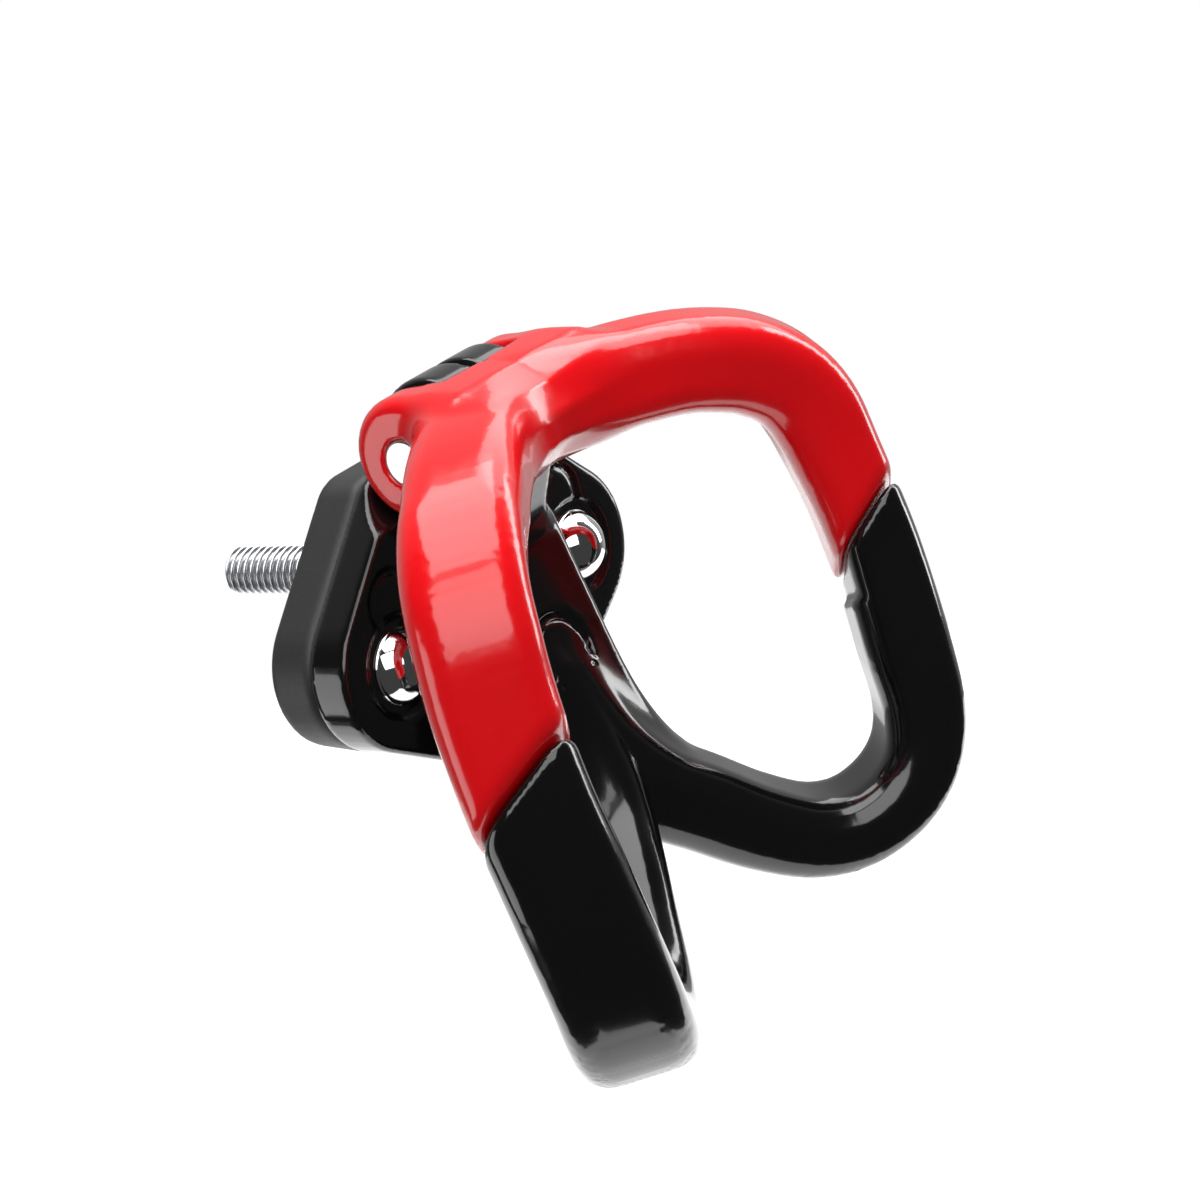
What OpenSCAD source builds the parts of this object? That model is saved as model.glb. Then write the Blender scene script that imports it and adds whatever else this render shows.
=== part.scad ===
// Double-claw bag and helmet hook with a sprung snap gate.
// Origin: on the axis of the mounting stud, at the rear face of the rubber pad.
// +Y runs backwards along the stud, +Z is up and +X is to the right, seen from the front.
// The hook is mirror-symmetric about the plane X = 0.

/* [Base plate] */
// Thickness of the cast base plate
plate_t = 5; // [4:0.5:6]
// Thickness of the rubber pad behind it
pad_t = 6; // [4:0.5:7]
// How far the pad's edge is set in from the plate's edge
pad_inset = 0.4; // [0.2:0.1:1]
// Half the distance between the two domed screws
screw_x = 15.7; // [14:0.1:17]
// Height of the domed screws from the stud axis
screw_z = -4; // [-6:0.5:-2]
// Radius of the plate's side lobes
lobe_r = 8.8; // [8:0.2:9]

/* [Stud and screws] */
// Thread diameter of the mounting stud (M6)
stud_d = 6; // [5:1:8]
// Length of the stud behind the pad
stud_len = 25; // [15:1:30]
// Depth that the stud is screwed into the casting
stud_depth = 7; // [5:0.5:7.5]
// Diameter of the domed screw heads
dome_d = 8; // [7:0.1:9]
// Height of the domed screw heads
dome_h = 3; // [2:0.1:3.5]
// Thread diameter of the domed screws (M4)
screw_d = 4; // [3:0.5:5]

/* [Hinge] */
// Distance of the hinge pin in front of the pad's rear face
hinge_y = 14.2; // [13.8:0.1:14.6]
// Height of the hinge pin above the stud axis
hinge_z = 15.8; // [15.4:0.1:16.2]
// Diameter of the hinge pin
pin_d = 5; // [4:0.1:5]
// Radial clearance between the pin and the gate's ears
pin_clear = 0.05; // [0.03:0.01:0.1]
// Radius of the cast knuckles round the pin
knuckle_r = 7; // [6.8:0.1:7.2]
// Half the width across both knuckles
knuckle_x = 6; // [5.5:0.1:6.2]
// Half the width across the gate's ears
ear_x = 11; // [10.5:0.1:11.5]
// Radius of the gate's ears round the pin
ear_r = 6.6; // [6.2:0.1:6.8]

/* [Spring] */
// Wire diameter of the torsion spring
wire_d = 1; // [0.8:0.1:1]
// Number of coils
spring_turns = 5; // [4:1:5]

/* [Claws] */
// Angle between the centre plane and each claw's plane
splay = 45; // [43:1:47]
// Distance in front of the pad's rear face where the claw planes cross
claw_root_y = 12; // [11.5:0.1:12.5]
// Width of the edge bevel on the claws and the gate's arms
bevel = 2; // [1.5:0.1:2.4]
// Gap between the gate's tips and the claws' tips
tip_gap = 0.35; // [0.3:0.05:0.5]

/* [Hidden] */
$fn = 64;

plate_back = -pad_t;
plate_front = -pad_t - plate_t;
pin_y = -hinge_y;
pin_z = hinge_z;
fit = 0.1;          // free gap round screws and in pockets
side_gap = 0.3;     // gap between a knuckle and an ear
swing_gap = 0.5;    // gap between the gate's head and the body as it turns
arc_steps = 8;      // points along each rounded corner of an outline
band_steps = 3;     // rings between two control points of a claw or an arm

// ---- Outlines ---------------------------------------------------------------------------

// Points of the belt drawn round a list of circles [x, z, r], given counter-clockwise.
function normal_angle(a, b) =
    let (d = [b[0] - a[0], b[1] - a[1]])
    atan2(d[1], d[0]) - acos((a[2] - b[2]) / norm(d));
function turn(from, to) = to < from ? turn(from, to + 360) : to;
function belt(circles) =
    let (n = len(circles))
    [for (i = [0 : n - 1])
        let (c = circles[i],
             start = normal_angle(circles[(i + n - 1) % n], c),
             end = turn(start, normal_angle(c, circles[(i + 1) % n])))
        for (k = [0 : arc_steps])
            let (a = start + (end - start) * k / arc_steps)
            [c[0] + c[2] * cos(a), c[1] + c[2] * sin(a)]];

function plate_circles(inset) = [
    [0, -17, 6 - inset],
    [screw_x, screw_z, lobe_r - inset],
    [7, 8.5, 5.5 - inset],
    [-7, 8.5, 5.5 - inset],
    [-screw_x, screw_z, lobe_r - inset]];

// ---- Claw geometry ----------------------------------------------------------------------

// Control points [s, t, z, width, thickness]: s runs forwards in the claw's plane from the
// root, t runs sideways away from the centre plane and z is the height.
// The claw and the arm share the stretch at their joint.
joint_path = [
    [41.2, 3, -22.5, 12.2, 9.5],
    [41, 3.9, -16, 12.1, 9.4],
    [40.5, 4.8, -10, 12, 9.5],
    [39.7, 5.3, -4.5, 11.9, 9.5],
    [38.7, 5.5, 0.5, 11.9, 9.8],
    [37.7, 5.4, 4.8, 11.9, 10.2]];
claw_path = concat([
    [2.2, -2, -13, 7, 6],
    [5.3, -2.8, -21.2, 10.5, 9],
    [9.8, -3, -27, 11.5, 9.8],
    [14.7, -2.4, -31, 11.8, 9.8],
    [20.1, -1.6, -35.4, 12, 9.4],
    [25.7, -0.8, -38.7, 12.3, 8.9],
    [31, 0, -39.5, 12.5, 8.6],
    [36.1, 0.9, -37.8, 12.6, 8.6],
    [39.6, 1.5, -34.2, 12.5, 8.7],
    [41.2, 2.1, -29, 12.3, 9.1]], joint_path);
arm_path = concat([
    [3, -3, 16, 10.5, 9.6],
    [9, -2, 16.3, 11, 10],
    [14.5, -0.6, 16.2, 11.4, 10.3],
    [19.9, 0.7, 15.9, 11.7, 10.2],
    [24.4, 1.8, 15.3, 11.8, 10.1],
    [27.9, 2.7, 14.3, 11.9, 10.2],
    [31.3, 3.8, 12.8, 12, 10.3],
    [34.4, 4.7, 10.5, 12, 10.3],
    [36.4, 5.2, 7.9, 11.9, 10.3]],
    [for (i = [len(joint_path) - 1 : -1 : 0]) joint_path[i]]);

// Parting between claw and gate: the oblique plane z + cut_t * t - s = cut_0, and behind it a
// tongue on the gate that reaches down the claw's inner side towards a ledge.
cut_t = 0.85;
cut_0 = -46;
cut_norm = sqrt(2 + cut_t * cut_t);
tongue_s = 37;
ledge_t = 0.35;
ledge_0 = -14.6;
tongue_0 = -12.2;

// Point [s, t, z] of a right-hand claw in the part's frame.
function claw_xyz(p) = [
    p[0] * sin(splay) + p[1] * cos(splay),
    -claw_root_y - p[0] * cos(splay) + p[1] * sin(splay),
    p[2]];

// Catmull-Rom curve through the control points, with its end points repeated.
function control(path, i) = path[max(0, min(len(path) - 1, i))];
function spline(path, i, u) =
    let (a = control(path, i - 1), b = control(path, i),
         c = control(path, i + 1), d = control(path, i + 2))
    0.5 * (2 * b + (c - a) * u + (2 * a - 5 * b + 4 * c - d) * u * u
           + (3 * b - a - 3 * c + d) * u * u * u);
function spline_points(path) = [
    for (i = [0 : len(path) - 2]) for (k = [0 : band_steps - 1]) spline(path, i, k / band_steps),
    path[len(path) - 1]];

// Bevelled band section: offsets [across the thickness, across the width].
function section(w, h) = [
    [h / 2, w / 2 - bevel], [h / 2 - bevel, w / 2], [bevel - h / 2, w / 2], [-h / 2, w / 2 - bevel],
    [-h / 2, bevel - w / 2], [bevel - h / 2, -w / 2], [h / 2 - bevel, -w / 2], [h / 2, bevel - w / 2]];
function direction(line, i) =
    let (a = line[max(0, i - 1)], b = line[min(len(line) - 1, i + 1)],
         d = [b[0] - a[0], b[1] - a[1], b[2] - a[2]])
    d / norm(d);
function ring(line, i) =
    let (c = line[i], d = direction(line, i), q = norm([d[0], d[2]]))
    [for (o = section(c[3], c[4])) [c[0] + o[0] * d[2] / q, c[1] + o[1], c[2] - o[0] * d[0] / q]];

// Solid through a list of rings with the same number of points each.
module loft(rings) {
    n = len(rings);
    sides = len(rings[0]);
    points = [for (r = rings) for (p = r) p];
    walls = [for (i = [0 : n - 2]) for (k = [0 : sides - 1])
        let (a = i * sides + k, b = i * sides + (k + 1) % sides)
        for (f = [[a, a + sides, b], [b, a + sides, b + sides]]) f];
    first = [for (k = [0 : sides - 1]) k];
    last = [for (k = [sides - 1 : -1 : 0]) (n - 1) * sides + k];
    polyhedron(points, concat(walls, [first, last]), convexity = 10);
}

module band(path) {
    line = spline_points(path);
    loft([for (i = [0 : len(line) - 1]) [for (p = ring(line, i)) claw_xyz(p)]]);
}

// Everything on the gate's side of the parting, from s = inner outwards.
function gate_side_ring(t, gap, end, inner) =
    let (s_tongue = tongue_s - gap, c = cut_0 - cut_t * t + gap * cut_norm,
         e = min(end - ledge_t * t, s_tongue + c - 0.05))
    [[60, t, 60 + c], [s_tongue, t, s_tongue + c], [s_tongue, t, e], [inner, t, e],
     [inner, t, 45], [60, t, 45]];
module gate_side(gap, end, inner) {
    fade = (tongue_s - gap + cut_0 + gap * cut_norm - end) / (cut_t - ledge_t) - 0.1;
    loft([for (t = [-12, fade, 22]) [for (p = gate_side_ring(t, gap, end, inner)) claw_xyz(p)]]);
}

module both_sides() {
    children();
    mirror([1, 0, 0]) children();
}

// ---- Helpers ----------------------------------------------------------------------------

// Extrude a [y, z] outline across the width, centred on X = 0.
module across(width) {
    rotate([90, 0, 90]) linear_extrude(width, center = true) children();
}

// A cylinder along X round the hinge pin's axis.
module pin_cylinder(r, width) {
    translate([0, pin_y, pin_z]) rotate([0, 90, 0]) cylinder(r = r, h = width, center = true);
}

// A cylinder along Y from y0 to y1.
module y_cylinder(x, z, r, y0, y1, sides = 64) {
    translate([x, y0, z]) rotate([-90, 0, 0]) cylinder(r = r, h = y1 - y0, $fn = sides);
}

// ---- Cast hook body ---------------------------------------------------------------------

spine_x = 8.5;          // half width of the spine
mark_d = 6.4;           // ejector-pin marks on the plate
spine_mark_d = 7.6;     // ejector-pin mark on the spine
mark_depth = 0.3;
pocket_r = 4.5;         // spring pocket inside the knuckles
pocket_x = 3.4;         // half width of the spring pocket
nut_af = 7;             // width across flats of the captive nuts (M4)
nut_h = 3;
stud_neck_d = 5.3;       // plain shank of the stud inside the pad
stud_chamfer = 0.8;

module base_plate() {
    translate([0, plate_back, 0]) rotate([90, 0, 0]) linear_extrude(plate_t)
        polygon(belt(plate_circles(0)));
}

// Side view of the spine: it leans forwards as it comes down to the claws.
module spine() {
    across(2 * spine_x) polygon([
        [plate_front + 1, 7.5], [pin_y + 0.5, 7.2], [-15.6, 3], [-18.6, -10], [-20.6, -18], [-22, -24],
        [-20.5, -27], [-16, -25], [-12, -21.5], [plate_front + 1, -19]]);
}

// The neck carries the two knuckles that the pin is pressed into.
module neck() {
    across(2 * knuckle_x) polygon([
        [plate_front + 1, 13.5], [pin_y + 4.9, pin_z + 5], [pin_y, pin_z],
        [pin_y - knuckle_r + 0.6, pin_z - 3], [-15.6, 3], [plate_front + 1, 2]]);
    pin_cylinder(knuckle_r, 2 * knuckle_x);
}

module ejector_mark(r) {
    rotate([90, 0, 0]) cylinder(r = r, h = 2 * mark_depth, center = true);
}

module hook_body() {
    color("#141416") difference() {
        union() {
            base_plate();
            spine();
            neck();
            both_sides() difference() {
                band(claw_path);
                gate_side(0, ledge_0, 25);
            }
        }
        // Room for the gate's ears to turn beside the knuckles
        both_sides() translate([knuckle_x + 5, pin_y, pin_z]) rotate([0, 90, 0])
            cylinder(r = ear_r + swing_gap, h = 10, center = true);
        // Groove between the knuckles
        difference() {
            pin_cylinder(knuckle_r + 1, 0.8);
            pin_cylinder(knuckle_r - 0.8, 2);
        }
        // Pressed pin bore
        pin_cylinder(pin_d / 2, 4 * knuckle_x);
        // Spring pocket, open to the front below, with a slot for the front leg
        pin_cylinder(pocket_r, 2 * pocket_x);
        translate([-pocket_x, pin_y - 10, pin_z - pocket_r]) cube([2 * pocket_x, 10, 5]);
        translate([front_leg_x - 0.9, pin_y - 10, pin_z - 1]) cube([1.8, 10, pocket_r + 1]);
        // Hole for the spring's back leg
        translate([-front_leg_x, pin_y + coil_r, pin_z - leg_drop - 0.3])
            cylinder(d = wire_d + 0.3, h = leg_drop, $fn = 24);
        // Blind hole that the stud is screwed into
        y_cylinder(0, 0, stud_d / 2 + 0.05, plate_back - stud_depth - 0.3, plate_back + 1);
        // Domed screws: clearance holes and shallow seats
        both_sides() {
            y_cylinder(screw_x, screw_z, screw_d / 2 + fit, plate_front - 1, plate_back + 1);
            y_cylinder(screw_x, screw_z, dome_d / 2 + 1.2, plate_front - 1, plate_front + 0.4);
            translate([14.5, plate_front, 2.4]) ejector_mark(mark_d / 2);
        }
        translate([0, -18.3, -9.6]) rotate([-13, 0, 0]) ejector_mark(spine_mark_d / 2);
    }
}

// ---- Snap gate --------------------------------------------------------------------------

// Side view of the gate's head, from the ears round the pin to the split of the two arms.
module head_profile() {
    polygon(concat(
        [for (k = [0 : 16]) let (a = -60 + 150 * k / 16) [pin_y + ear_r * cos(a), pin_z + ear_r * sin(a)]],
        [[-18, 22.4], [-22.5, 22], [-25.6, 20], [-27, 17], [-26.6, 14]],
        [[-24.5, 12], [-20, 10.6], [-15, 9.4]]));
}

module gate() {
    color("#e01218") difference() {
        union() {
            across(2 * ear_x) head_profile();
            both_sides() intersection() {
                band(arm_path);
                gate_side(tip_gap, tongue_0, -20);
            }
        }
        // Slot round the body's knuckles
        pin_cylinder(knuckle_r + swing_gap, 2 * (knuckle_x + side_gap));
        translate([-knuckle_x - side_gap, pin_y, pin_z - 12]) cube([2 * (knuckle_x + side_gap), 12, 24]);
        translate([-knuckle_x - side_gap, pin_y - knuckle_r - swing_gap, pin_z - 12])
            cube([2 * (knuckle_x + side_gap), knuckle_r + swing_gap, 12]);
        // Blind hole for the spring's front leg
        y_cylinder(front_leg_x, pin_z + coil_r, wire_d / 2 + 0.25, pin_y - 9.2, pin_y - 5, 24);
        // Running bore for the pin
        pin_cylinder(pin_d / 2 + pin_clear, 4 * ear_x);
    }
}

// ---- Hinge hardware ---------------------------------------------------------------------

module hinge_pin() {
    color("silver") pin_cylinder(pin_d / 2, 2 * ear_x);
}

// Torsion spring: a coil round the pin, with one leg down into the neck and one forwards into
// the gate's head.
coil_r = 3.65;
wire_sides = 8;
ring_step = 22.5;
coil_pitch = wire_d * 1.1;
front_leg = 360 * spring_turns - 270;
front_leg_x = coil_pitch * front_leg / 720;
leg_drop = 7;
leg_reach = 8.8;
function coil_point(a) = [
    coil_pitch * (a - front_leg / 2) / 360,
    pin_y + coil_r * cos(a),
    pin_z + coil_r * sin(a)];
spring_line = concat(
    [coil_point(0) + [0, 0, -leg_drop], coil_point(0) + [0, 0, -1]],
    [for (a = [0 : ring_step : front_leg]) coil_point(a)],
    [coil_point(front_leg) + [0, -1, 0], coil_point(front_leg) + [0, -leg_reach, 0]]);

function wire_ring(line, i) =
    let (a = line[max(0, i - 1)], b = line[min(len(line) - 1, i + 1)], d = (b - a) / norm(b - a),
         u = cross(d, [1, 0, 0]) / norm(cross(d, [1, 0, 0])), v = cross(d, u))
    [for (k = [0 : wire_sides - 1]) let (g = 360 * k / wire_sides)
        line[i] + wire_d / 2 * (u * cos(g) + v * sin(g))];

module torsion_spring() {
    color("#8a8d90") loft([for (i = [0 : len(spring_line) - 1]) wire_ring(spring_line, i)]);
}

// ---- Pad and fasteners ------------------------------------------------------------------

module rear_pad() {
    color("#26262a") difference() {
        rotate([90, 0, 0]) linear_extrude(pad_t) polygon(belt(plate_circles(pad_inset)));
        y_cylinder(0, 0, stud_d / 2 + fit, -pad_t - 1, 1);
        both_sides() {
            y_cylinder(screw_x, screw_z, screw_d / 2 + fit, -pad_t - 1, 1);
            y_cylinder(screw_x, screw_z, nut_af / sqrt(3) + fit, -nut_h - 0.6, 1, 6);
        }
    }
}

// Double-end stud: screwed into the casting, a plain shank in the pad and a free threaded end.
module mounting_stud() {
    color("silver") union() {
        y_cylinder(0, 0, stud_d / 2, plate_back - stud_depth, plate_back);
        y_cylinder(0, 0, stud_neck_d / 2, plate_back - 0.5, 0.5);
        y_cylinder(0, 0, stud_d / 2, 0, stud_len - stud_chamfer);
        translate([0, stud_len - stud_chamfer, 0]) rotate([-90, 0, 0])
            cylinder(r1 = stud_d / 2, r2 = stud_d / 2 - stud_chamfer, h = stud_chamfer);
    }
}

// Domed screw: a spherical cap on a plain shank that ends inside its nut.
module pad_screw(side) {
    cap_r = (dome_d * dome_d / 4 + dome_h * dome_h) / (2 * dome_h);
    seat = plate_front + 0.4;
    color("silver") union() {
        intersection() {
            translate([side * screw_x, seat - dome_h + cap_r, screw_z]) sphere(r = cap_r);
            y_cylinder(side * screw_x, screw_z, dome_d / 2, seat - dome_h - 1, seat);
        }
        y_cylinder(side * screw_x, screw_z, screw_d / 2, seat - 0.5, -0.8);
    }
}

module pad_screw_left() {
    pad_screw(-1);
}

module pad_screw_right() {
    pad_screw(1);
}

module pad_nut(side) {
    color("silver") difference() {
        y_cylinder(side * screw_x, screw_z, nut_af / sqrt(3), -nut_h - 0.6, -0.6, 6);
        y_cylinder(side * screw_x, screw_z, screw_d / 2, -nut_h - 2, 1);
    }
}

module pad_nut_left() {
    pad_nut(-1);
}

module pad_nut_right() {
    pad_nut(1);
}

hook_body();
gate();
hinge_pin();
torsion_spring();
rear_pad();
mounting_stud();
pad_screw_left();
pad_screw_right();
pad_nut_left();
pad_nut_right();
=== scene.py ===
import math

import bpy
import numpy as np
from mathutils import Matrix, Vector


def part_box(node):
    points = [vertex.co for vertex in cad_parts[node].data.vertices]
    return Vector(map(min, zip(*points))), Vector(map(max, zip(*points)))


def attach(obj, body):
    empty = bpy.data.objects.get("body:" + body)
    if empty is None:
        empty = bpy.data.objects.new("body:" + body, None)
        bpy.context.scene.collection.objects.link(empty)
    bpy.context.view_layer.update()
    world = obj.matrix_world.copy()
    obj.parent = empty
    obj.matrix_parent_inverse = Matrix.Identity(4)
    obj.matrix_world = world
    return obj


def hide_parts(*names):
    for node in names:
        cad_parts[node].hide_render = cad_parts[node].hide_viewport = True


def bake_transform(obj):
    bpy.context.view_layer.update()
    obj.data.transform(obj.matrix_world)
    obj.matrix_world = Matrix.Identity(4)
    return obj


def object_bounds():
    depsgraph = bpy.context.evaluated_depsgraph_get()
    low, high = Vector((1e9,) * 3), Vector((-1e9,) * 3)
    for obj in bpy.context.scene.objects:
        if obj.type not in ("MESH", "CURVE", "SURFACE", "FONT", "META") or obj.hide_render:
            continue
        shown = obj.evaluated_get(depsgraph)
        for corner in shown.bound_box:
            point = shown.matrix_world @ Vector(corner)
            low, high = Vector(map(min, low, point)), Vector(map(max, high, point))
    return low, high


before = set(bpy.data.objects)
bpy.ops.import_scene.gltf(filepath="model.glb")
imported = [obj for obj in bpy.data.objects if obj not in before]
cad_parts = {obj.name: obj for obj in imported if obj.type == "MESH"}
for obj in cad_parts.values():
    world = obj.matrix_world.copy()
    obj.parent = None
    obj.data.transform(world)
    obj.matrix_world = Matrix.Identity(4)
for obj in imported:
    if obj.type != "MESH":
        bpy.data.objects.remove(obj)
CAD_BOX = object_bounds()

# ---- Dimensions, in millimetres -----------------------------------------------------------
# The shapes are worked out in millimetres and scaled to metres when a mesh is made. The pin,
# the stud and the screws take their places from the frame.

MM = 0.001


def node_box(node):
    """Lowest and highest corner of a CAD node in millimetres."""
    low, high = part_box(node)
    return np.array(low) / MM, np.array(high) / MM


PIN_LOW, PIN_HIGH = node_box("hinge_pin")
PIN_X = PIN_HIGH[0]                              # half the pin's length
PIN_Y, PIN_Z = (PIN_LOW[1] + PIN_HIGH[1]) / 2, (PIN_LOW[2] + PIN_HIGH[2]) / 2
PIN_R = (PIN_HIGH[2] - PIN_LOW[2]) / 2
PAD_LOW, PAD_HIGH = node_box("rear_pad")
PLATE_BACK = PAD_LOW[1]
PLATE_T = 5.0
PLATE_FRONT = PLATE_BACK - PLATE_T
SCREW_LOW, SCREW_HIGH = node_box("pad_screw_right")
SCREW_X = (SCREW_LOW[0] + SCREW_HIGH[0]) / 2
SCREW_Z = (SCREW_LOW[2] + SCREW_HIGH[2]) / 2
DOME_R = (SCREW_HIGH[0] - SCREW_LOW[0]) / 2
LOBE_R = 8.8                                     # plate's lobe round a screw
STUD_TIP = node_box("mounting_stud")[1][1]
STUD_R = 3.0

KNUCKLE_R = 7.0
KNUCKLE_X = 6.0                                  # half the width over both knuckles
SIDE_GAP = 0.3                                   # between knuckles and ears
SWING_GAP = 0.5                                  # round the knuckles and the ears
GROOVE_X = 0.4                                   # half the groove between the knuckles
EAR_R = 6.6
SPINE_X = 8.5                                    # half the spine's width

POCKET_R, POCKET_X = 4.5, 3.4                    # the spring's pocket in the neck
COIL_R, WIRE_R = 3.65, 0.5
COIL_TURNS, COIL_PITCH = 4.25, 1.1
BACK_LEG, FRONT_LEG = 7.0, 8.8                   # reach of the spring's legs from the pin's axis
LEG_SLOT_X, LEG_SLOT_HALF = 2.34, 0.9            # slot that the front leg turns in

STUD_HOLE_R, STUD_HOLE_DEPTH = 3.05, 7.3
SCREW_HOLE_R = 2.1
SEAT_GAP, SEAT_DEPTH = 1.2, 0.4                  # shallow seat round a domed head
PAD_INSET = 0.4                                  # pad's edge inside the plate's
PAD_HOLE_R = 3.1
NUT_ROOM, NUT_ROOM_DEPTH = 3.6, 3.6              # across flats, halved, and depth

SPLAY = math.radians(45)                         # each claw's plane from the centre plane
ROOT_Y = 12.0                                    # where those planes cross, in front of the pad
TIP_GAP = 0.35                                   # gap between the gate's tips and the claws
CUT_T, CUT_0 = 0.85, -46.0                       # parting plane z + CUT_T t - s = CUT_0
CUT_NORM = math.sqrt(2 + CUT_T ** 2)
LEDGE_S = 37.0                                   # the claw's ledge lies inside this distance
LEDGE_T, LEDGE_0 = 0.35, -14.6                   # and its face is z = LEDGE_0 - LEDGE_T t
BEVEL = 2.0                                      # cut off the corners of the claws' section

# Control points (s, t, z, width, thickness) in a claw's plane, as in the CAD model. The claw
# and the arm share the stretch at their joint.
JOINT = [
    (41.2, 3.0, -22.5, 12.2, 9.5), (41.0, 3.9, -16.0, 12.1, 9.4), (40.5, 4.8, -10.0, 12.0, 9.5),
    (39.7, 5.3, -4.5, 11.9, 9.5), (38.7, 5.5, 0.5, 11.9, 9.8), (37.7, 5.4, 4.8, 11.9, 10.2)]
CLAW = np.array([
    (2.2, -2.0, -13.0, 7.0, 6.0), (5.3, -2.8, -21.2, 10.5, 9.0), (9.8, -3.0, -27.0, 11.5, 9.8),
    (14.7, -2.4, -31.0, 11.8, 9.8), (20.1, -1.6, -35.4, 12.0, 9.4), (25.7, -0.8, -38.7, 12.3, 8.9),
    (31.0, 0.0, -39.5, 12.5, 8.6), (36.1, 0.9, -37.8, 12.6, 8.6), (39.6, 1.5, -34.2, 12.5, 8.7),
    (41.2, 2.1, -29.0, 12.3, 9.1)] + JOINT)
ARM = np.array([
    (3.0, -3.0, 16.0, 10.5, 9.6), (9.0, -2.0, 16.3, 11.0, 10.0), (14.5, -0.6, 16.2, 11.4, 10.3),
    (19.9, 0.7, 15.9, 11.7, 10.2), (24.4, 1.8, 15.3, 11.8, 10.1), (27.9, 2.7, 14.3, 11.9, 10.2),
    (31.3, 3.8, 12.8, 12.0, 10.3), (34.4, 4.7, 10.5, 12.0, 10.3), (36.4, 5.2, 7.9, 11.9, 10.3)]
    + JOINT[::-1])


# ---- Signed distance fields ---------------------------------------------------------------
# Each casting is one distance field, positive outside: primitives joined with fillets.

def smooth_min(a, b, k):
    """Union of two fields with a fillet of about k."""
    h = np.maximum(k - np.abs(a - b), 0.0) / k
    return np.minimum(a, b) - h * h * k * 0.25


def smooth_max(a, b, k):
    """Intersection of two fields with an edge rounded by about k."""
    return -smooth_min(-a, -b, k)


def bevelled_box_2d(u, v, half_u, half_v):
    """Distance to a rectangle with bevelled corners whose edges are softened."""
    square = np.maximum(np.abs(u) - half_u, np.abs(v) - half_v)
    bevel = (np.abs(u) + np.abs(v) - half_u - half_v + BEVEL) * math.sqrt(0.5)
    return smooth_max(square, bevel, 1.3)


def polygon_2d(u, v, points):
    """Signed distance to a closed polygon."""
    points = np.asarray(points, float)
    best = np.full(u.shape, 1e9)
    inside = np.zeros(u.shape, bool)
    for a, b in zip(points, np.roll(points, -1, axis=0)):
        e = b - a
        k = np.clip(((u - a[0]) * e[0] + (v - a[1]) * e[1]) / (e @ e), 0, 1)
        best = np.minimum(best, np.hypot(u - a[0] - k * e[0], v - a[1] - k * e[1]))
        if a[1] != b[1]:
            crosses = ((v < a[1]) != (v < b[1])) & (u < e[0] * (v - a[1]) / e[1] + a[0])
            inside ^= crosses
    return np.where(inside, -best, best)


def extrude(d2, w, half, r):
    """Extrusion of a 2-D field through |w| < half with edges rounded by r."""
    qa, qb = d2 + r, np.abs(w) - half + r
    return np.hypot(np.maximum(qa, 0), np.maximum(qb, 0)) + np.minimum(np.maximum(qa, qb), 0) - r


def spline_points(control, steps=12):
    """Catmull-Rom curve through control points, as in the CAD model."""
    n = len(control)
    rows = []
    for i in range(n - 1):
        a, b = control[max(0, i - 1)], control[i]
        c, d = control[i + 1], control[min(n - 1, i + 2)]
        for k in range(steps):
            u = k / steps
            rows.append(0.5 * (2 * b + (c - a) * u + (2 * a - 5 * b + 4 * c - d) * u ** 2
                               + (3 * b - a - 3 * c + d) * u ** 3))
    rows.append(control[-1])
    return np.array(rows)


def claw_coordinates(p):
    """(s, t, z) of points in the plane of the claw on their own side."""
    x, y = np.abs(p[:, 0]), p[:, 1] + ROOT_Y
    return x * math.sin(SPLAY) - y * math.cos(SPLAY), x * math.cos(SPLAY) + y * math.sin(SPLAY), p[:, 2]


def parting_height(s, t, z):
    """Distance above the oblique plane where the gate meets the claw."""
    return (z + CUT_T * t - s - CUT_0) / CUT_NORM


def gate_room(s, t, z):
    """Negative in the room that the claw leaves: above the parting and over its inner ledge."""
    return np.minimum(-parting_height(s, t, z), np.maximum(s - LEDGE_S, LEDGE_0 - LEDGE_T * t - z))


def band(s, t, z, line):
    """Distance to a band of varying width and thickness along a line of spline points."""
    a, b = line[:-1], line[1:]
    e = b[:, [0, 2]] - a[:, [0, 2]]
    ee = (e ** 2).sum(1)
    out = np.empty(s.shape)
    for i in range(0, len(s), 40000):
        part = slice(i, i + 40000)
        ds, dz = s[part, None] - a[None, :, 0], z[part, None] - a[None, :, 2]
        k = (ds * e[:, 0] + dz * e[:, 1]) / ee
        kc = np.clip(k, 0, 1)
        d2 = (ds - kc * e[:, 0]) ** 2 + (dz - kc * e[:, 1]) ** 2
        j = d2.argmin(1)
        rows = np.arange(len(j))
        k_raw, k_in = k[rows, j], kc[rows, j]
        length = np.sqrt(ee[j])
        across = (ds[rows, j] * e[j, 1] - dz[rows, j] * e[j, 0]) / length
        beyond = (k_raw - k_in) * length
        near = a[j] + (b[j] - a[j]) * k_in[:, None]
        side = t[part] - near[:, 1]
        d = bevelled_box_2d(across, side, near[:, 4] / 2, near[:, 3] / 2)
        out[part] = np.hypot(np.maximum(d, 0), beyond) + np.minimum(d, 0)
    return out


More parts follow.
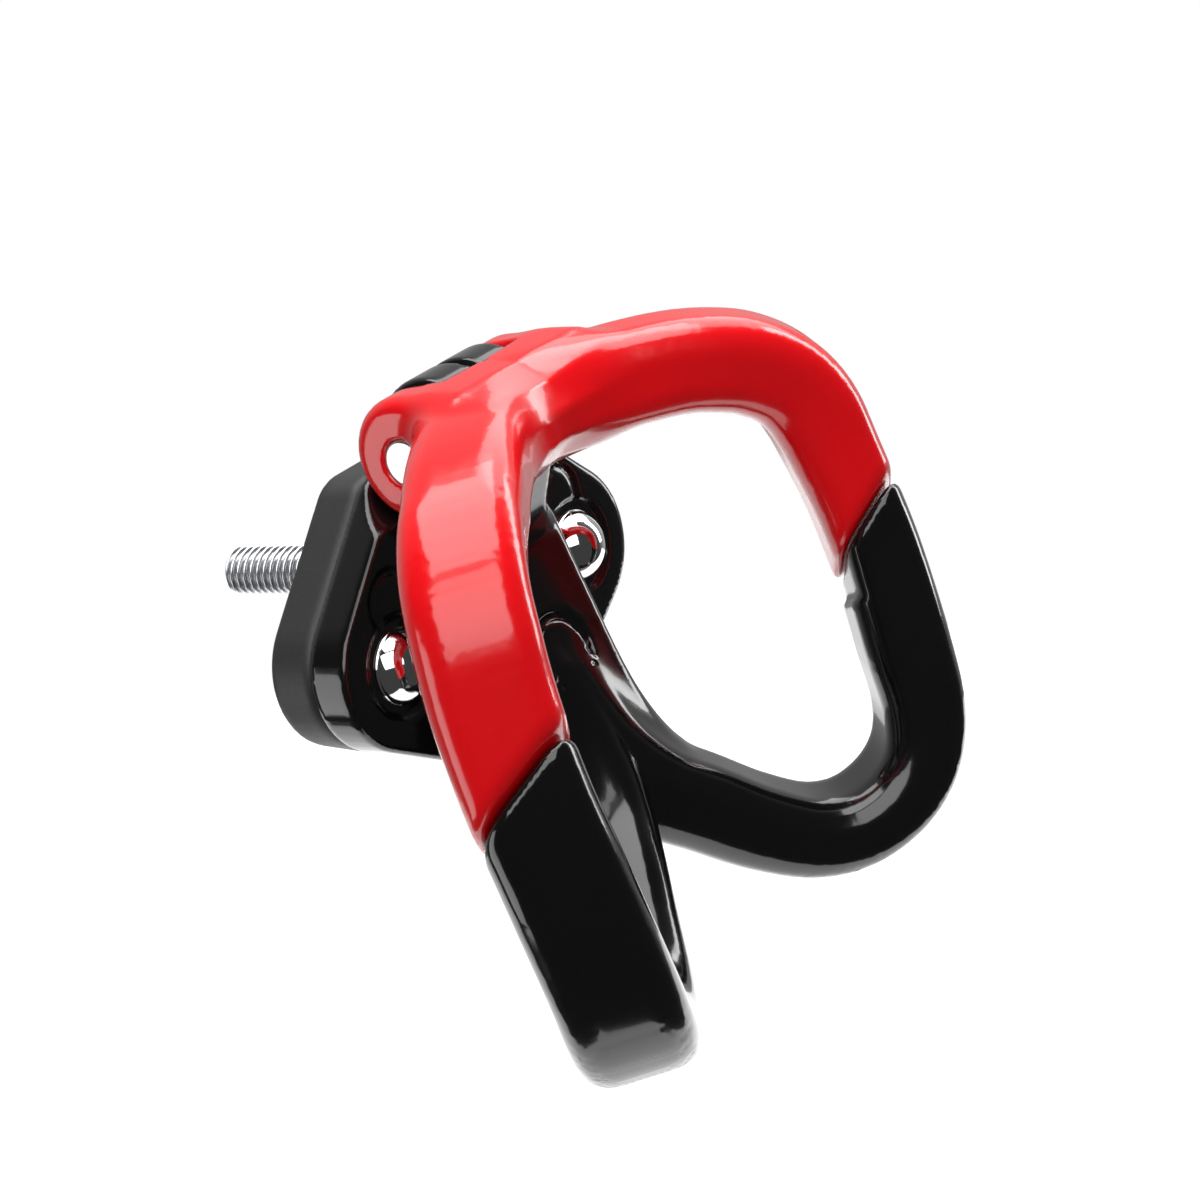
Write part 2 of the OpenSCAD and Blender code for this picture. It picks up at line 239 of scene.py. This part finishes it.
def circle_belt(circles, steps=14):
    """Outline of the belt round circles (x, z, r) given counter-clockwise."""
    def normal(a, b):
        dx, dz = b[0] - a[0], b[1] - a[1]
        return math.atan2(dz, dx) - math.acos((a[2] - b[2]) / math.hypot(dx, dz))
    points = []
    for i, c in enumerate(circles):
        start = normal(circles[i - 1], c)
        end = normal(c, circles[(i + 1) % len(circles)])
        while end < start:
            end += 2 * math.pi
        for k in range(steps + 1):
            angle = start + (end - start) * k / steps
            points.append((c[0] + c[2] * math.cos(angle), c[1] + c[2] * math.sin(angle)))
    return points


def plate_outline(inset):
    """Belt round the foot, the two screws and the two top corners."""
    circles = [(0, -17, 6), (SCREW_X, SCREW_Z, LOBE_R), (7, 8.5, 5.5), (-7, 8.5, 5.5),
               (-SCREW_X, SCREW_Z, LOBE_R)]
    return circle_belt([(x, z, r - inset) for x, z, r in circles])


def pin_distance(p):
    """Distance from the pin's axis."""
    return np.hypot(p[:, 1] - PIN_Y, p[:, 2] - PIN_Z)


# Side views (y, z) of the spine and of the neck, which both start inside the plate
SPINE_SIDE = [(PLATE_FRONT + 2, 7.5), (PIN_Y + 0.5, 7.2), (-15.6, 3), (-18.6, -10), (-20.6, -18),
              (-22, -24), (-20.5, -27), (-16, -25), (-12, -21.5), (PLATE_FRONT + 2, -19)]
NECK_SIDE = [(PLATE_FRONT + 2, 13.5), (PIN_Y + 4.9, PIN_Z + 4.4), (PIN_Y, PIN_Z),
             (PIN_Y - 6.2, PIN_Z - 3), (-15.6, 3), (PLATE_FRONT + 2, 2)]
PLATE_MARKS = [(14.5, 2.4, 3.2), (-14.5, 2.4, 3.2)]   # ejector marks (x, z, radius)
SPINE_MARK = (-18.3, -9.6, 3.9)                  # ejector mark on the spine (y, z, radius)
SPINE_TILT = math.radians(13)


def cut_marks(d, x, y, z):
    """Thin ring grooves of the ejector marks on the plate and on the spine's front."""
    for mark_x, mark_z, r in PLATE_MARKS:
        ring = np.hypot(np.hypot(x - mark_x, z - mark_z) - r, y - PLATE_FRONT) - 0.34
        d = smooth_max(d, -ring, 0.35)
    mark_y, mark_z, r = SPINE_MARK
    along = (y - mark_y) * math.sin(SPINE_TILT) + (z - mark_z) * math.cos(SPINE_TILT)
    above = (y - mark_y) * math.cos(SPINE_TILT) - (z - mark_z) * math.sin(SPINE_TILT)
    ring = np.hypot(np.hypot(x, along) - r, above) - 0.4
    return smooth_max(d, -np.where(y < -14, ring, 1e3), 0.4)


def pin_and_spring_room(p):
    """Negative in the pin's bore and in the spring's pocket with its openings to the front."""
    x, y, z = p.T
    bore = np.maximum(pin_distance(p) - PIN_R, np.abs(x) - 20)
    pocket = np.maximum(pin_distance(p) - POCKET_R, np.abs(x) - POCKET_X)
    front = np.maximum(np.abs(x) - POCKET_X, np.maximum(np.abs(z - PIN_Z + 2.0) - 2.5, y - PIN_Y))
    leg_slot = np.maximum(np.abs(x - LEG_SLOT_X) - LEG_SLOT_HALF,
                          np.maximum(np.abs(z - PIN_Z - 1.75) - 2.75, y - PIN_Y))
    return np.minimum(bore, np.minimum(pocket, np.minimum(front, leg_slot)))


def body_field(p):
    """The black casting: base plate, spine, knuckles and both claws."""
    x, y, z = p.T
    plate_middle = (PLATE_FRONT + PLATE_BACK) / 2
    plate = extrude(polygon_2d(x, z, plate_outline(0)), y - plate_middle, PLATE_T / 2, 0.7)
    spine = extrude(polygon_2d(y, z, SPINE_SIDE), x, SPINE_X, 1.6)
    neck = extrude(polygon_2d(y, z, NECK_SIDE), x, KNUCKLE_X, 0.7)
    knuckles = extrude(pin_distance(p) - KNUCKLE_R, x, KNUCKLE_X, 0.9)
    s, t, zz = claw_coordinates(p)
    claw = band(s, t, zz, CLAW_LINE)
    claw = smooth_max(claw, np.where(s > 27, -gate_room(s, t, zz), -40), 1.3)
    d = smooth_min(smooth_min(neck, knuckles, 0.6), spine, 2.5)
    d = smooth_min(d, claw, 5.0)
    d = smooth_min(d, plate, 1.0)
    ear_room = extrude(pin_distance(p) - (EAR_R + SWING_GAP), np.abs(x) - (KNUCKLE_X + 5), 5, 0.2)
    d = smooth_max(d, -ear_room, 0.5)
    groove = np.maximum(np.abs(x) - GROOVE_X, np.abs(pin_distance(p) - KNUCKLE_R - 0.2) - 1.0)
    d = smooth_max(d, -groove, 0.5)
    from_screw = np.hypot(np.abs(x) - SCREW_X, z - SCREW_Z)
    seat = np.maximum(from_screw - DOME_R - SEAT_GAP, y - PLATE_FRONT - SEAT_DEPTH)
    d = smooth_max(d, -seat, 0.5)
    d = np.maximum(d, -(from_screw - SCREW_HOLE_R))
    d = cut_marks(d, x, y, z)
    d = np.maximum(d, -pin_and_spring_room(p))
    stud_hole = np.maximum(np.hypot(x, z) - STUD_HOLE_R, PLATE_BACK - STUD_HOLE_DEPTH - y)
    return np.maximum(d, -stud_hole)


# Side view (y, z) of the gate's head: round the pin, then forwards to where the arms split
HEAD_SIDE = ([(PIN_Y + EAR_R * math.cos(a), PIN_Z + EAR_R * math.sin(a))
              for a in np.radians(np.linspace(-60, 90, 17))]
             + [(-18, 22.4), (-22.5, 22), (-25.6, 20), (-27, 17), (-26.6, 14), (-24.5, 12), (-20, 10.6),
                (-15, 9.4)])


def gate_field(p):
    """The red casting: head with two ears, and both arms."""
    x, y, z = p.T
    head = extrude(polygon_2d(y, z, HEAD_SIDE), x, PIN_X, 1.7)
    s, t, zz = claw_coordinates(p)
    arm = band(s, t, zz, ARM_LINE)
    parting = np.where(s > 27, TIP_GAP - parting_height(s, t, zz), -40)
    arm = smooth_max(arm, parting, 1.3)
    d = smooth_min(head, arm, 3.0)
    slot_x = np.abs(x) - (KNUCKLE_X + SIDE_GAP)
    swing = pin_distance(p) - (KNUCKLE_R + SWING_GAP)
    behind = np.maximum(PIN_Y - y, PIN_Z - 12 - z)
    below = np.maximum(np.maximum(z - PIN_Z, PIN_Y - KNUCKLE_R - SWING_GAP - y), y - PIN_Y)
    slot = np.maximum(slot_x, np.minimum(swing, np.minimum(behind, below)))
    d = smooth_max(d, -slot, 0.6)
    return smooth_max(d, -(pin_distance(p) - PIN_R - 0.05), 0.3)


def pad_field(p):
    """The rubber pad with its stud hole and nut pockets."""
    x, y, z = p.T
    middle, thick = (PAD_LOW[1] + PAD_HIGH[1]) / 2, PAD_HIGH[1] - PAD_LOW[1]
    d = extrude(polygon_2d(x, z, plate_outline(PAD_INSET)), y - middle, thick / 2, 1.2)
    d = np.maximum(d, -(np.hypot(x, z) - PAD_HOLE_R))
    u, v = np.abs(x) - SCREW_X, z - SCREW_Z
    across_flats = np.maximum(np.abs(u) * math.cos(math.pi / 6) + np.abs(v) * 0.5, np.abs(v))
    d = np.maximum(d, -np.maximum(across_flats - NUT_ROOM, -NUT_ROOM_DEPTH - y))
    return np.maximum(d, -(np.hypot(u, v) - SCREW_HOLE_R))


# ---- Meshes from distance fields ----------------------------------------------------------

BLOCK = 16


def sample_grid(field, low, high, step):
    """Field values on a regular grid, worked out only in blocks near the surface."""
    shape = np.ceil((high - low) / step / BLOCK).astype(int)
    values = np.empty(shape * BLOCK + 1)
    corners = [np.arange(n) * BLOCK for n in shape]
    starts = np.stack(np.meshgrid(*corners, indexing="ij"), -1).reshape(-1, 3)
    centres = low + (starts + BLOCK / 2) * step
    middle = field(centres)
    reach = BLOCK * step * math.sqrt(3) / 2 + 3.0
    local = np.stack(np.meshgrid(*[np.arange(BLOCK + 1)] * 3, indexing="ij"), -1).reshape(-1, 3)
    near = np.abs(middle) < reach
    for start, value in zip(starts[~near], middle[~near]):
        i, j, k = start
        values[i:i + BLOCK + 1, j:j + BLOCK + 1, k:k + BLOCK + 1] = value
    for start in starts[near]:
        i, j, k = start
        block = field(low + (start + local) * step).reshape([BLOCK + 1] * 3)
        values[i:i + BLOCK + 1, j:j + BLOCK + 1, k:k + BLOCK + 1] = block
    return values


def surface_net(values, low, step):
    """Vertices and quads of the zero surface by naive surface nets."""
    inside = values < 0
    n = np.array(values.shape) - 1
    offsets = [(a, b, c) for a in (0, 1) for b in (0, 1) for c in (0, 1)]
    count = sum(inside[a:a + n[0], b:b + n[1], c:c + n[2]].astype(np.int8) for a, b, c in offsets)
    cells = np.argwhere((count > 0) & (count < 8))
    index = np.full(n, -1, np.int64)
    index[tuple(cells.T)] = np.arange(len(cells))
    total = np.zeros((len(cells), 3))
    hits = np.zeros(len(cells))
    for a in offsets:
        for axis in range(3):
            if a[axis]:
                continue
            b = list(a)
            b[axis] = 1
            va = values[tuple((cells + a).T)]
            vb = values[tuple((cells + b).T)]
            crosses = (va < 0) != (vb < 0)
            k = np.where(crosses, va / np.where(crosses, va - vb, 1), 0)
            point = np.array(a, float) + np.eye(3)[axis] * k[:, None]
            total += point * crosses[:, None]
            hits += crosses
    vertices = low + (cells + total / hits[:, None]) * step
    quads = []
    for axis in range(3):
        u, v = (axis + 1) % 3, (axis + 2) % 3
        first = [slice(None)] * 3
        second = [slice(None)] * 3
        first[axis], second[axis] = slice(0, n[axis]), slice(1, n[axis] + 1)
        starts_in = inside[tuple(first)]
        edges = np.argwhere(starts_in != inside[tuple(second)])
        edges = edges[(edges[:, u] > 0) & (edges[:, v] > 0) & (edges[:, u] < n[u]) & (edges[:, v] < n[v])]
        step_u, step_v = np.eye(3, dtype=int)[u], np.eye(3, dtype=int)[v]
        ring = [edges - step_u - step_v, edges - step_v, edges, edges - step_u]
        quad = np.stack([index[tuple(cell.T)] for cell in ring], 1)
        flip = ~starts_in[tuple(edges.T)]
        quad[flip] = quad[flip][:, ::-1]
        quads.append(quad)
    return vertices, np.concatenate(quads)


def settle(field, vertices, rounds=3):
    """Moves vertices onto the zero surface along the field's gradient."""
    h = 0.02
    for _ in range(rounds):
        steps = [field(vertices + d) - field(vertices - d) for d in np.eye(3) * h]
        gradient = np.stack(steps, 1) / (2 * h)
        size = np.maximum((gradient ** 2).sum(1), 0.3)
        move = -(field(vertices) / size)[:, None] * gradient
        vertices = vertices + np.clip(move, -0.15, 0.15)
    return vertices


def mesh_object(name, vertices, faces):
    """Smooth-shaded object from vertices in millimetres."""
    mesh = bpy.data.meshes.new(name)
    mesh.from_pydata((np.asarray(vertices) * MM).tolist(), [], np.asarray(faces).tolist()
                     if isinstance(faces, np.ndarray) else faces)
    mesh.validate()
    mesh.polygons.foreach_set("use_smooth", [True] * len(mesh.polygons))
    obj = bpy.data.objects.new(name, mesh)
    bpy.context.scene.collection.objects.link(obj)
    return obj


def casting(name, field, node, step):
    """Mesh of a field's zero surface, sampled round the CAD node that it replaces."""
    low, high = node_box(node)
    low, high = low - 2 * step, high + 2 * step
    vertices, quads = surface_net(sample_grid(field, low, high, step), low, step)
    return mesh_object(name, settle(field, vertices), quads)


# ---- Materials ----------------------------------------------------------------------------

def new_material(name):
    """A node material with its nodes and links."""
    material = bpy.data.materials.new(name)
    material.use_nodes = True
    return material, material.node_tree.nodes, material.node_tree.links


def add_noise(nodes, links, scale, detail=3.0, roughness=0.5):
    coords = nodes.new("ShaderNodeTexCoord")
    noise = nodes.new("ShaderNodeTexNoise")
    noise.inputs["Scale"].default_value = scale
    noise.inputs["Detail"].default_value = detail
    noise.inputs["Roughness"].default_value = roughness
    links.new(coords.outputs["Object"], noise.inputs["Vector"])
    return noise.outputs["Fac"]


def add_bump(nodes, links, heights, strength, distance):
    bump = nodes.new("ShaderNodeBump")
    bump.inputs["Strength"].default_value = strength
    bump.inputs["Distance"].default_value = distance
    links.new(heights, bump.inputs["Height"])
    return bump.outputs["Normal"]


def map_range(nodes, links, value, low, high):
    ramp = nodes.new("ShaderNodeMapRange")
    ramp.inputs["To Min"].default_value = low
    ramp.inputs["To Max"].default_value = high
    links.new(value, ramp.inputs["Value"])
    return ramp.outputs["Result"]


def mix_colour(nodes, links, factor, a, b):
    mix = nodes.new("ShaderNodeMix")
    mix.data_type = "RGBA"
    mix.inputs[6].default_value = (*a, 1)
    mix.inputs[7].default_value = (*b, 1)
    links.new(factor, mix.inputs[0])
    return mix.outputs[2]


def paint(name, light, dark, roughness, peel):
    """Gloss paint: slight tone variation, orange peel and a clear coat."""
    material, nodes, links = new_material(name)
    shader = nodes["Principled BSDF"]
    tone = add_noise(nodes, links, 140.0, 2.0)
    links.new(mix_colour(nodes, links, tone, dark, light), shader.inputs["Base Color"])
    fine = add_noise(nodes, links, 620.0, 2.0)
    links.new(map_range(nodes, links, fine, roughness * 0.8, roughness * 1.2), shader.inputs["Roughness"])
    normal = add_bump(nodes, links, fine, peel, 0.00012)
    links.new(normal, shader.inputs["Normal"])
    links.new(normal, shader.inputs["Coat Normal"])
    shader.inputs["Coat Weight"].default_value = 0.4
    shader.inputs["Coat Roughness"].default_value = 0.05
    shader.inputs["Specular IOR Level"].default_value = 0.5
    return material


def rubber(name):
    material, nodes, links = new_material(name)
    shader = nodes["Principled BSDF"]
    grain = add_noise(nodes, links, 2600.0, 4.0, 0.6)
    tone = add_noise(nodes, links, 90.0, 2.0)
    links.new(mix_colour(nodes, links, tone, (0.017, 0.017, 0.018), (0.024, 0.024, 0.026)),
              shader.inputs["Base Color"])
    links.new(map_range(nodes, links, grain, 0.42, 0.6), shader.inputs["Roughness"])
    links.new(add_bump(nodes, links, grain, 0.25, 0.00008), shader.inputs["Normal"])
    return material


def metal(name, light, dark, low, high, scale, bump):
    """Bare or plated metal with fine tool marks or plating grain."""
    material, nodes, links = new_material(name)
    shader = nodes["Principled BSDF"]
    shader.inputs["Metallic"].default_value = 1.0
    grain = add_noise(nodes, links, scale, 4.0, 0.6)
    links.new(mix_colour(nodes, links, grain, dark, light), shader.inputs["Base Color"])
    links.new(map_range(nodes, links, grain, low, high), shader.inputs["Roughness"])
    links.new(add_bump(nodes, links, grain, bump, 0.00003), shader.inputs["Normal"])
    return material


BLACK = paint("black_gloss_paint", (0.0042, 0.0042, 0.0046), (0.0028, 0.0028, 0.0031), 0.14, 0.05)
RED = paint("red_gloss_paint", (0.76, 0.004, 0.008), (0.68, 0.003, 0.006), 0.2, 0.16)
RUBBER = rubber("pad_rubber")
CHROME = metal("polished_chrome", (0.88, 0.88, 0.89), (0.80, 0.80, 0.82), 0.04, 0.09, 900.0, 0.03)
ZINC = metal("bright_zinc", (0.82, 0.83, 0.85), (0.66, 0.67, 0.70), 0.16, 0.3, 1800.0, 0.1)
STEEL = metal("turned_steel", (0.80, 0.80, 0.81), (0.66, 0.66, 0.67), 0.18, 0.32, 2400.0, 0.12)
SPRING = metal("spring_wire", (0.42, 0.43, 0.44), (0.30, 0.30, 0.31), 0.25, 0.4, 2400.0, 0.12)


def finish_piece(obj, material, body, slot, *nodes):
    """Gives a piece its material and body, in place of the named CAD nodes. The slot is not used."""
    obj.data.materials.clear()
    obj.data.materials.append(material)
    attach(obj, body)
    if nodes:
        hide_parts(*nodes)
    return obj


# ---- Castings and pad ---------------------------------------------------------------------

CLAW_LINE = spline_points(CLAW)
ARM_LINE = spline_points(ARM)
FINE_STEP = 0.5

finish_piece(casting("hook_casting", body_field, "hook_body", FINE_STEP), BLACK, "body", "black_paint",
             "hook_body")
finish_piece(casting("gate_casting", gate_field, "gate", FINE_STEP), RED, "gate", "red_paint", "gate")
finish_piece(casting("rubber_pad", pad_field, "rear_pad", FINE_STEP), RUBBER, "body", "pad_rubber",
             "rear_pad")


# ---- Turned pieces ------------------------------------------------------------------------

def lathe(name, profile, place, sides=96):
    """Solid of revolution: profile of (radius, distance) closed on its axis; place maps to xyz."""
    rings = []
    for r, along in profile:
        count = 1 if r == 0 else sides
        rings.append([place(r * math.cos(a), r * math.sin(a), along)
                      for a in np.arange(count) * 2 * math.pi / sides])
    vertices, starts = [], []
    for ring in rings:
        starts.append(len(vertices))
        vertices += ring
    faces = []
    for i in range(len(rings) - 1):
        a, b = starts[i], starts[i + 1]
        for k in range(sides):
            n = (k + 1) % sides
            if len(rings[i]) == 1:
                faces.append((a, b + k, b + n))
            elif len(rings[i + 1]) == 1:
                faces.append((a + k, b, a + n))
            else:
                faces.append((a + k, b + k, b + n, a + n))
    return mesh_object(name, vertices, faces)


def rounded_end(r, along, edge, sign, steps=6):
    """Profile points of a rounded rim from the axis side outwards."""
    return [(r - edge + edge * math.sin(a), along + sign * edge * (1 - math.cos(a)))
            for a in np.linspace(0, math.pi / 2, steps)]


def pin_profile():
    start = [(0, -PIN_X)] + rounded_end(PIN_R, -PIN_X, 0.35, 1)
    end = rounded_end(PIN_R, PIN_X, 0.35, -1)[::-1] + [(0, PIN_X)]
    return start + end


finish_piece(lathe("pin", pin_profile(), lambda u, v, w: (w, PIN_Y + u, PIN_Z + v)), STEEL, "body",
             "pin_steel", "hinge_pin")


def screw_profile():
    """Domed head with a small rim, and a shank that ends inside the nut."""
    top, seat = SCREW_LOW[1], PLATE_FRONT + SEAT_DEPTH
    height = seat - top
    sphere_r = (DOME_R ** 2 + height ** 2) / (2 * height)
    limit = math.asin(DOME_R / sphere_r)
    cap = [(sphere_r * math.sin(a), top + sphere_r * (1 - math.cos(a)))
           for a in np.linspace(0, limit * 0.97, 24)]
    cap[0] = (0, top)
    rim = [(DOME_R, seat - 0.12), (DOME_R - 0.1, seat)]
    shank = [(2.0, seat), (2.0, -1.2), (1.7, -0.8), (0, -0.8)]
    return cap + rim + shank


for side, label in ((-1, "left"), (1, "right")):
    screw = lathe(f"dome_screw_{label}", screw_profile(),
                  lambda u, v, w, side=side: (side * SCREW_X + u, w, SCREW_Z - v))
    finish_piece(screw, CHROME, "body", "screw_chrome", f"pad_screw_{label}")


# ---- Threaded stud ------------------------------------------------------------------------

def thread_height(phase):
    """Thread profile from 0 at the root to 1 at the crest, with both rounded."""
    wave = abs(2 * (phase % 1.0) - 1)
    return min(max((wave - 0.14) / 0.7, 0), 1) ** 0.9


def threaded_stud():
    pitch, depth, sides, per_turn = 1.0, 0.6, 64, 14
    start, end, chamfer = PLATE_BACK - 6.9, STUD_TIP, 0.8
    rings = int((end - start) / pitch * per_turn)
    vertices = []
    for i in range(rings + 1):
        y = start + (end - start) * i / rings
        limit = STUD_R - max(0.0, chamfer - (end - y))
        for k in range(sides):
            angle = 2 * math.pi * k / sides
            r = STUD_R - depth + depth * thread_height(y / pitch - k / sides)
            vertices.append((min(r, limit) * math.cos(angle), y, min(r, limit) * math.sin(angle)))
    faces = []
    for a in range(0, rings * sides, sides):
        for k in range(sides):
            n = (k + 1) % sides
            faces.append((a + k, a + sides + k, a + sides + n, a + n))
    faces.append(list(range(sides)))
    faces.append([rings * sides + k for k in range(sides - 1, -1, -1)])
    return mesh_object("threaded_stud", vertices, faces)


finish_piece(threaded_stud(), ZINC, "body", "bolt_zinc", "mounting_stud")


# ---- Torsion spring -----------------------------------------------------------------------

def spring_wire():
    """Coil round the pin: one leg down into the neck, one forwards into the gate's head."""
    sides, per_turn = 12, 32
    half = COIL_PITCH * COIL_TURNS / 2
    line = [(-half, COIL_R, -BACK_LEG), (-half, COIL_R, -4.0), (-half, COIL_R, -1.0)]
    for k in range(int(COIL_TURNS * per_turn) + 1):
        a = 2 * math.pi * k / per_turn
        along = half * (2 * k / (COIL_TURNS * per_turn) - 1)
        line.append((along, COIL_R * math.cos(a), COIL_R * math.sin(a)))
    line += [(half, -1.0, COIL_R), (half, -4.5, COIL_R), (half, -FRONT_LEG, COIL_R)]
    line = np.array(line) + (0, PIN_Y, PIN_Z)
    vertices, faces = [], []
    for i, p in enumerate(line):
        d = line[min(i + 1, len(line) - 1)] - line[max(i - 1, 0)]
        u = np.cross(d, (1, 0, 0))
        u /= np.linalg.norm(u)
        v = np.cross(d, u) / np.linalg.norm(d)
        for g in np.arange(sides) * 2 * math.pi / sides:
            vertices.append(p + WIRE_R * (u * math.cos(g) + v * math.sin(g)))
    for i in range(len(line) - 1):
        for k in range(sides):
            n = (k + 1) % sides
            faces.append((i * sides + k, i * sides + n, (i + 1) * sides + n, (i + 1) * sides + k))
    faces.append(list(range(sides))[::-1])
    faces.append([(len(line) - 1) * sides + k for k in range(sides)])
    return mesh_object("torsion_wire", vertices, faces), half


def add_spring():
    spring, half = spring_wire()
    spring.data.materials.append(SPRING)
    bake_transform(spring)
    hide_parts("torsion_spring")


add_spring()


# ---- CAD nodes that stay ------------------------------------------------------------------

for node, material in (("pad_nut_left", ZINC), ("pad_nut_right", ZINC)):
    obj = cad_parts[node]
    for i in range(len(obj.material_slots)):
        obj.material_slots[i].material = material

# ---- Stage, light and camera --------------------------------------------------------------

def view_axes(azimuth, elevation, roll):
    """Camera axes for an azimuth that looks along +Y at 0 and an elevation, in degrees."""
    a, e, t = (math.radians(v) for v in (azimuth, elevation, roll))
    back = np.array((math.sin(a) * math.cos(e), -math.cos(a) * math.cos(e), math.sin(e)))
    right = np.cross((0, 0, 1), back)
    right /= np.linalg.norm(right)
    up = np.cross(back, right)
    return (math.cos(t) * right + math.sin(t) * up, math.cos(t) * up - math.sin(t) * right, back)


RIGHT, UP, BACK = view_axes(-50.34, 18.44, -14.89)


def place_with_axes(obj, right, up, back, location):
    """Places a camera or a light whose own axes are right, up and back."""
    obj.matrix_world = Matrix([[*row, location[i]] for i, row in enumerate(np.stack([right, up, back], 1))]
                              + [[0, 0, 0, 1]])


def add_camera():
    camera = bpy.data.objects.new("camera", bpy.data.cameras.new("camera"))
    camera.data.sensor_width = 36
    camera.data.lens = 80.1
    camera.data.clip_start = 0.01
    place_with_axes(camera, RIGHT, UP, BACK, np.array((-198.408, -189.416, 82.295)) * MM)
    bpy.context.scene.collection.objects.link(camera)
    bpy.context.scene.camera = camera


def add_floor():
    """A pale floor well below the hook, which is held by its stud."""
    near, far, z = -120.0, 420.0, CAD_BOX[0][2] / MM - 150
    floor = mesh_object("floor", [(near, near, z), (far, near, z), (far, far, z), (near, far, z)],
                        [(0, 1, 2, 3)])
    material, nodes, links = new_material("pale_floor")
    shader = nodes["Principled BSDF"]
    tone = add_noise(nodes, links, 3.0, 2.0)
    colour = mix_colour(nodes, links, tone, (0.95, 0.95, 0.95), (0.97, 0.97, 0.97))
    links.new(colour, shader.inputs["Base Color"])
    shader.inputs["Roughness"].default_value = 0.9
    shader.inputs["Emission Color"].default_value = (1, 1, 1, 1)
    shader.inputs["Emission Strength"].default_value = 0.25
    floor.data.materials.append(material)


def add_area(name, direction, distance, size_x, size_y, power):
    """A soft box in a direction from the hook, facing it."""
    light = bpy.data.lights.new(name, "AREA")
    light.shape = "RECTANGLE"
    light.size, light.size_y = size_x, size_y
    light.energy = power
    obj = bpy.data.objects.new(name, light)
    back = np.array(direction, float)
    back /= np.linalg.norm(back)
    right = np.cross((0, 0, 1), back)
    right /= np.linalg.norm(right)
    place_with_axes(obj, right, np.cross(back, right), back, back * distance)
    bpy.context.scene.collection.objects.link(obj)


def add_world():
    """White backdrop: bright behind the hook, dimmer in front of it."""
    world = bpy.data.worlds.new("studio")
    world.use_nodes = True
    nodes, links = world.node_tree.nodes, world.node_tree.links
    room = nodes["Background"]
    coords = nodes.new("ShaderNodeTexCoord")
    dot = nodes.new("ShaderNodeVectorMath")
    dot.operation = "DOT_PRODUCT"
    dot.inputs[1].default_value = (0.74, 0.62, 0.25)
    links.new(coords.outputs["Generated"], dot.inputs[0])
    level = nodes.new("ShaderNodeMapRange")
    level.interpolation_type = "SMOOTHSTEP"
    level.inputs["From Min"].default_value = 0.1
    level.inputs["From Max"].default_value = 0.8
    level.inputs["To Min"].default_value = 0.05
    level.inputs["To Max"].default_value = 0.4
    links.new(dot.outputs["Value"], level.inputs["Value"])
    links.new(level.outputs["Result"], room.inputs["Strength"])
    room.inputs["Color"].default_value = (1, 1, 1, 1)
    backdrop = nodes.new("ShaderNodeBackground")
    backdrop.inputs["Color"].default_value = (1, 1, 1, 1)
    backdrop.inputs["Strength"].default_value = 1.0
    path = nodes.new("ShaderNodeLightPath")
    mix = nodes.new("ShaderNodeMixShader")
    links.new(path.outputs["Is Camera Ray"], mix.inputs["Fac"])
    links.new(room.outputs["Background"], mix.inputs[1])
    links.new(backdrop.outputs["Background"], mix.inputs[2])
    links.new(mix.outputs["Shader"], nodes["World Output"].inputs["Surface"])
    bpy.context.scene.world = world


add_camera()
add_floor()
add_world()
add_area("front_light", (-0.58, -0.68, 0.62), 0.75, 0.8, 0.6, 4.4)
add_area("top_light", (0.15, -0.1, 1.0), 0.8, 0.9, 0.8, 9.0)
add_area("side_light", (0.75, 0.0, 0.62), 0.8, 0.6, 0.6, 2.2)
add_area("right_light", (0.9, -0.35, 0.15), 0.7, 0.16, 0.6, 1.6)
add_area("left_light", (-0.8, 0.6, -0.2), 0.6, 0.35, 0.45, 1.1)
bpy.context.scene.view_settings.view_transform = "Standard"
